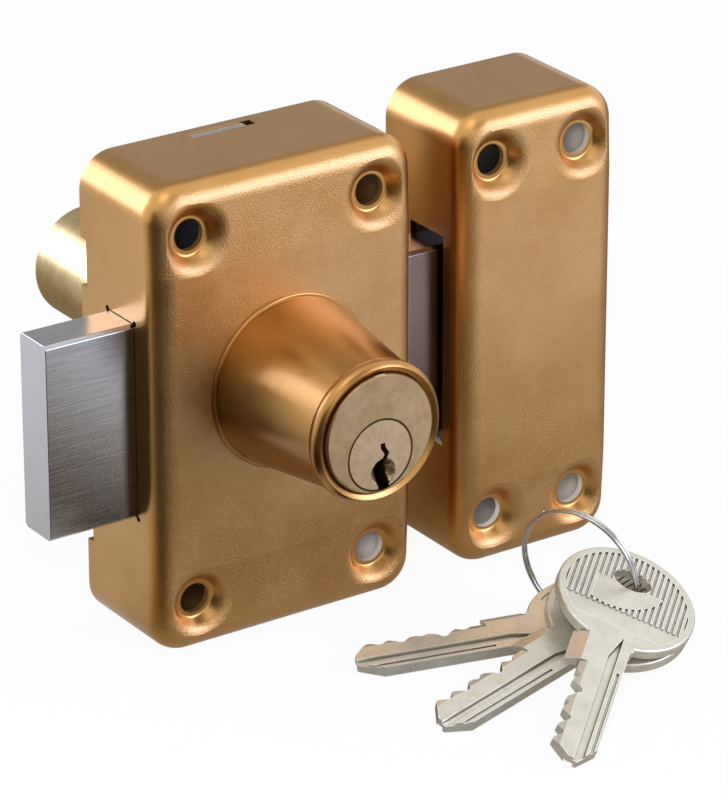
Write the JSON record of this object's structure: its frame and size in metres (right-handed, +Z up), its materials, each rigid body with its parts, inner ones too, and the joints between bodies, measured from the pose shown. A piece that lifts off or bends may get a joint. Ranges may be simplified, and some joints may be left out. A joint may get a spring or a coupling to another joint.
{
  "type": "deadbolt",
  "caption": "Keyed rim deadbolt with a conical cylinder boss, a through bolt on a rack and pinion, a box keeper and three keys on a ring.",
  "frame": {"origin": "plug axis where it meets the mounting plane at the back of the case, the middle of the case's screw holes", "axes": "+X from the case to the keeper, +Y into the door, so the front faces -Y, +Z up"},
  "size_m": [0.1247, 0.1521, 0.0944],
  "materials": {
    "bronze_lacquer": "bronze metallic lacquer, fine orange peel",
    "plate_steel": "zinc plated sheet",
    "bolt_steel": "satin nickel plated, fine brush lines",
    "face_brass": "satin turned",
    "pin_brass": "turned",
    "spring_steel": "bright",
    "pinion_steel": "machined",
    "screw_steel": "zinc plated",
    "key_nickel": "nickel plated",
    "ring_steel": "nickel plated wire"
  },
  "bodies": {
    "lock": {"case_cover": "bronze_lacquer", "case_backplate": "plate_steel", "boss_cover": "bronze_lacquer", "boss_screws": "screw_steel", "inner_barrel": "face_brass", "inner_spring_cover": "face_brass", "inner_driver_pins": "pin_brass", "inner_pin_springs": "spring_steel", "outer_barrel": "face_brass", "outer_spring_cover": "face_brass", "outer_driver_pins": "pin_brass", "outer_pin_springs": "spring_steel", "outer_barrel_screws": "screw_steel", "bolt_guide_upper": "plate_steel", "bolt_guide_lower": "plate_steel", "guide_rivets": "screw_steel", "bearing_bridge": "plate_steel", "bridge_screws": "screw_steel", "bolt_leaf_spring": "spring_steel", "pinion_bush": "pin_brass", "keeper_cover": "bronze_lacquer", "keeper_backplate": "plate_steel"},
    "bolt": {"bolt": "bolt_steel"},
    "pinion": {"drive_pinion": "pinion_steel"},
    "inner_plug": {"inner_plug": "face_brass", "inner_plug_clip": "spring_steel", "inner_key_pins": "pin_brass"},
    "outer_plug": {"outer_plug": "face_brass", "outer_plug_clip": "spring_steel", "outer_key_pins": "pin_brass", "tailbar": "plate_steel"},
    "key_ring": {"key_ring": "ring_steel"},
    "key_front": {"key_front": "key_nickel"},
    "key_middle": {"key_middle": "key_nickel"},
    "key_back": {"key_back": "key_nickel"}
  },
  "joints": [
    {"name": "bolt_slide", "type": "slide", "parent": "lock", "child": "bolt", "axis": [1, 0, 0], "range_m": [-0.016, 0.019]},
    {"name": "pinion_turn", "type": "hinge", "parent": "lock", "child": "pinion", "pos_m": [0, 0, 0], "axis": [0, -1, 0], "range_deg": [-330, 392]},
    {"name": "inner_plug_turn", "type": "hinge", "parent": "lock", "child": "inner_plug", "pos_m": [0, 0, 0], "axis": [0, -1, 0], "range_deg": [-330, 392]},
    {"name": "outer_plug_turn", "type": "hinge", "parent": "lock", "child": "outer_plug", "pos_m": [0, 0, 0], "axis": [0, -1, 0], "range_deg": [-360, 360]},
    {"name": "key_ring_lift", "type": "slide", "parent": "lock", "child": "key_ring", "axis": [0, 0, 1], "range_m": [0, 0.03]},
    {"name": "key_front_swing", "type": "hinge", "parent": "key_ring", "child": "key_front", "pos_m": [0.04918, -0.07017, -0.0356], "axis": [0.1079, -0.4042, 0.9083], "range_deg": [-20, 0]},
    {"name": "key_middle_swing", "type": "hinge", "parent": "key_ring", "child": "key_middle", "pos_m": [0.04941, -0.06874, -0.03988], "axis": [-0.0426, -0.3092, 0.9501], "range_deg": [-20, 0]},
    {"name": "key_back_swing", "type": "hinge", "parent": "key_ring", "child": "key_back", "pos_m": [0.04903, -0.06603, -0.04342], "axis": [-0.0966, -0.1656, 0.9814], "range_deg": [-12, 0]}
  ],
  "couplings": [
    {"joint": "pinion_turn", "follows": "bolt_slide", "rad_per_m": 359.04},
    {"joint": "inner_plug_turn", "follows": "bolt_slide", "rad_per_m": 359.04}
  ]
}
